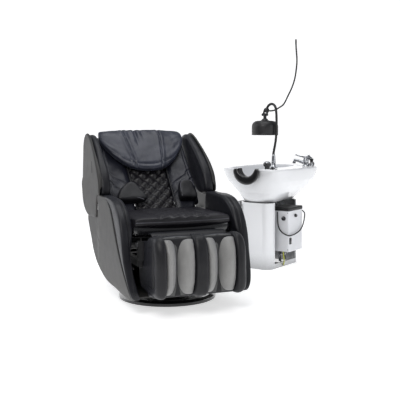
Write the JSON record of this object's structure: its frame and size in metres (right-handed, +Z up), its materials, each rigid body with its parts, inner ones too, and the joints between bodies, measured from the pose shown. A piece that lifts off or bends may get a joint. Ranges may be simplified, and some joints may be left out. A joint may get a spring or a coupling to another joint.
{
  "type": "shampoo backwash unit",
  "caption": "Swivelling massage recliner with folding leg rest, set before a ceramic backwash basin on a pedestal with mixer, hand shower, hood and water box.",
  "frame": {"origin": "on the floor at the centre of the chair's floor disc, on the swivel axis", "axes": "+Z up, the seated client faces -Y at rest, +X is to the right seen from the front; the basin stands at 32.5 degrees from +X with its notch facing the origin"},
  "size_m": [1.8074, 1.5953, 1.64],
  "materials": {
    "leather_black": "soft satin leather",
    "leather_grey": "soft satin leather",
    "pillow_leather": "smooth leather",
    "shell_black": "matte",
    "gloss_black": "gloss",
    "frame_steel": "powder coat",
    "bright_steel": "brushed",
    "chrome": "polished",
    "ceramic": "gloss glaze",
    "gel_black": "satin gel",
    "hose_black": "satin",
    "abs_white": "semi gloss",
    "abs_black": "matte",
    "pvc_grey": "satin",
    "motor_grey": "satin"
  },
  "bodies": {
    "base": {"floor_disc": "gloss_black", "swivel_spindle": "bright_steel", "pedestal": "ceramic", "floor_plate": "bright_steel", "bowl": "ceramic", "neck_cushion": "gel_black", "drain_flange": "chrome", "waste_trap": "pvc_grey", "stop_valves": "chrome", "water_box": "abs_white", "water_box_lid": "abs_black", "water_box_hose": "hose_black", "water_pump": "motor_grey", "deck_flange": "chrome", "mixer_body": "chrome"},
    "chair": {"turntable": "frame_steel", "seat_frame": "frame_steel", "belly_cover": "shell_black", "hull_left": "shell_black", "hull_right": "shell_black", "arm_pad_left": "leather_black", "arm_pad_right": "leather_black", "front_apron": "gloss_black", "seat_cushion": "leather_black", "back_hinge_pins": "bright_steel", "leg_gearmotor": "motor_grey", "power_supply": "motor_grey", "air_pump": "motor_grey", "air_valves_and_hoses": "hose_black"},
    "backrest": {"back_frame": "frame_steel", "back_shell": "shell_black", "back_cushion_centre": "leather_black", "back_side_cushions": "leather_black", "wing_left": "shell_black", "wing_right": "shell_black", "wing_pad_left": "leather_black", "wing_pad_right": "leather_black", "waist_pads": "leather_black", "massage_rails": "bright_steel"},
    "massage_carriage": {"massage_carriage": "motor_grey"},
    "kneading_shaft": {"kneading_shaft": "bright_steel"},
    "head_pillow": {"head_pillow": "pillow_leather"},
    "back_actuator": {"back_actuator": "motor_grey"},
    "back_actuator_rod": {"back_actuator_rod": "bright_steel"},
    "legrest": {"legrest_frame": "frame_steel", "legrest_shell": "leather_black", "calf_ridges": "leather_black", "calf_pads": "leather_grey"},
    "hair_strainer": {"hair_strainer": "chrome"},
    "temp_dial": {"temp_dial": "abs_black"},
    "flow_dial": {"flow_dial": "abs_black"},
    "power_switch": {"power_switch": "abs_black"},
    "mixer_cap": {"mixer_cap": "chrome"},
    "mixer_lever": {"mixer_lever": "chrome"},
    "hand_shower": {"hand_shower": "chrome"},
    "hood_arm": {"hood_arm": "hose_black", "feed_hose": "hose_black"},
    "hood_dome": {"hood_dome": "abs_black"},
    "deck_knob": {"deck_knob": "chrome"},
    "deck_button": {"deck_button": "abs_black"}
  },
  "joints": [
    {"name": "chair_swivel", "type": "hinge", "parent": "base", "child": "chair", "pos_m": [0, 0, 0], "axis": [0, 0, 1], "range_deg": [-57.5, 60]},
    {"name": "back_recline", "type": "hinge", "parent": "chair", "child": "backrest", "pos_m": [0, 0.205, 0.48], "axis": [-1, 0, 0], "range_deg": [0, 30]},
    {"name": "legrest_lift", "type": "hinge", "parent": "chair", "child": "legrest", "pos_m": [0, -0.335, 0.37], "axis": [-1, 0, 0], "range_deg": [0, 75]},
    {"name": "pillow_height", "type": "slide", "parent": "backrest", "child": "head_pillow", "axis": [0, 0.6639, 0.7478], "range_m": [-0.03, 0.06]},
    {"name": "massage_travel", "type": "slide", "parent": "backrest", "child": "massage_carriage", "axis": [0, 0.6639, 0.7478], "range_m": [-0.11, 0.22]},
    {"name": "kneading_spin", "type": "hinge", "parent": "massage_carriage", "child": "kneading_shaft", "pos_m": [0, 0.40388, 0.63774], "axis": [1, 0, 0], "continuous": true},
    {"name": "back_actuator_tilt", "type": "hinge", "parent": "chair", "child": "back_actuator", "pos_m": [0, 0.035, 0.2], "axis": [-1, 0, 0], "range_deg": [0, 5.96]},
    {"name": "back_actuator_stroke", "type": "slide", "parent": "back_actuator", "child": "back_actuator_rod", "axis": [0, 0.7297, 0.6838], "range_m": [-0.0566, 0.002]},
    {"name": "strainer_lift", "type": "slide", "parent": "base", "child": "hair_strainer", "axis": [0, 0, 1], "range_m": [0, 0.08]},
    {"name": "temp_dial_turn", "type": "hinge", "parent": "base", "child": "temp_dial", "pos_m": [1.05111, 0.48111, 0.352], "axis": [-0.8434, -0.5373, 0], "range_deg": [-135, 135]},
    {"name": "flow_dial_turn", "type": "hinge", "parent": "base", "child": "flow_dial", "pos_m": [1.15518, 0.49642, 0.368], "axis": [0.5373, -0.8434, 0], "range_deg": [-135, 135]},
    {"name": "power_switch_press", "type": "slide", "parent": "base", "child": "power_switch", "axis": [-0.5373, 0.8434, 0], "range_m": [0, 0.003]},
    {"name": "mixer_turn", "type": "hinge", "parent": "base", "child": "mixer_cap", "pos_m": [1.28921, 0.57825, 0.764], "axis": [0, 0, 1], "range_deg": [-50, 50]},
    {"name": "mixer_lift", "type": "hinge", "parent": "mixer_cap", "child": "mixer_lever", "pos_m": [1.28921, 0.57825, 0.781], "axis": [0.8434, 0.5373, 0], "range_deg": [0, 22]},
    {"name": "hand_shower_lift", "type": "slide", "parent": "base", "child": "hand_shower", "axis": [0, 0, 1], "range_m": [0, 0.12]},
    {"name": "hood_swing", "type": "hinge", "parent": "base", "child": "hood_arm", "pos_m": [0.97357, 0.48744, 0.744], "axis": [0, 0, 1], "range_deg": [-75, 75]},
    {"name": "hood_tilt", "type": "hinge", "parent": "hood_arm", "child": "hood_dome", "pos_m": [0.94814, 0.57202, 1.096], "axis": [0.5373, -0.8434, 0], "range_deg": [-20, 20]},
    {"name": "deck_knob_turn", "type": "hinge", "parent": "base", "child": "deck_knob", "pos_m": [0.88724, 0.41821, 0.734], "axis": [0, 0, 1], "range_deg": [0, 180]},
    {"name": "deck_button_press", "type": "slide", "parent": "base", "child": "deck_button", "axis": [0, 0, -1], "range_m": [0, 0.003]}
  ],
  "couplings": [
    {"joint": "back_actuator_tilt", "follows": "back_recline", "ratio": 0.18196},
    {"joint": "back_actuator_stroke", "follows": "back_recline", "m_per_rad": -0.10421}
  ]
}
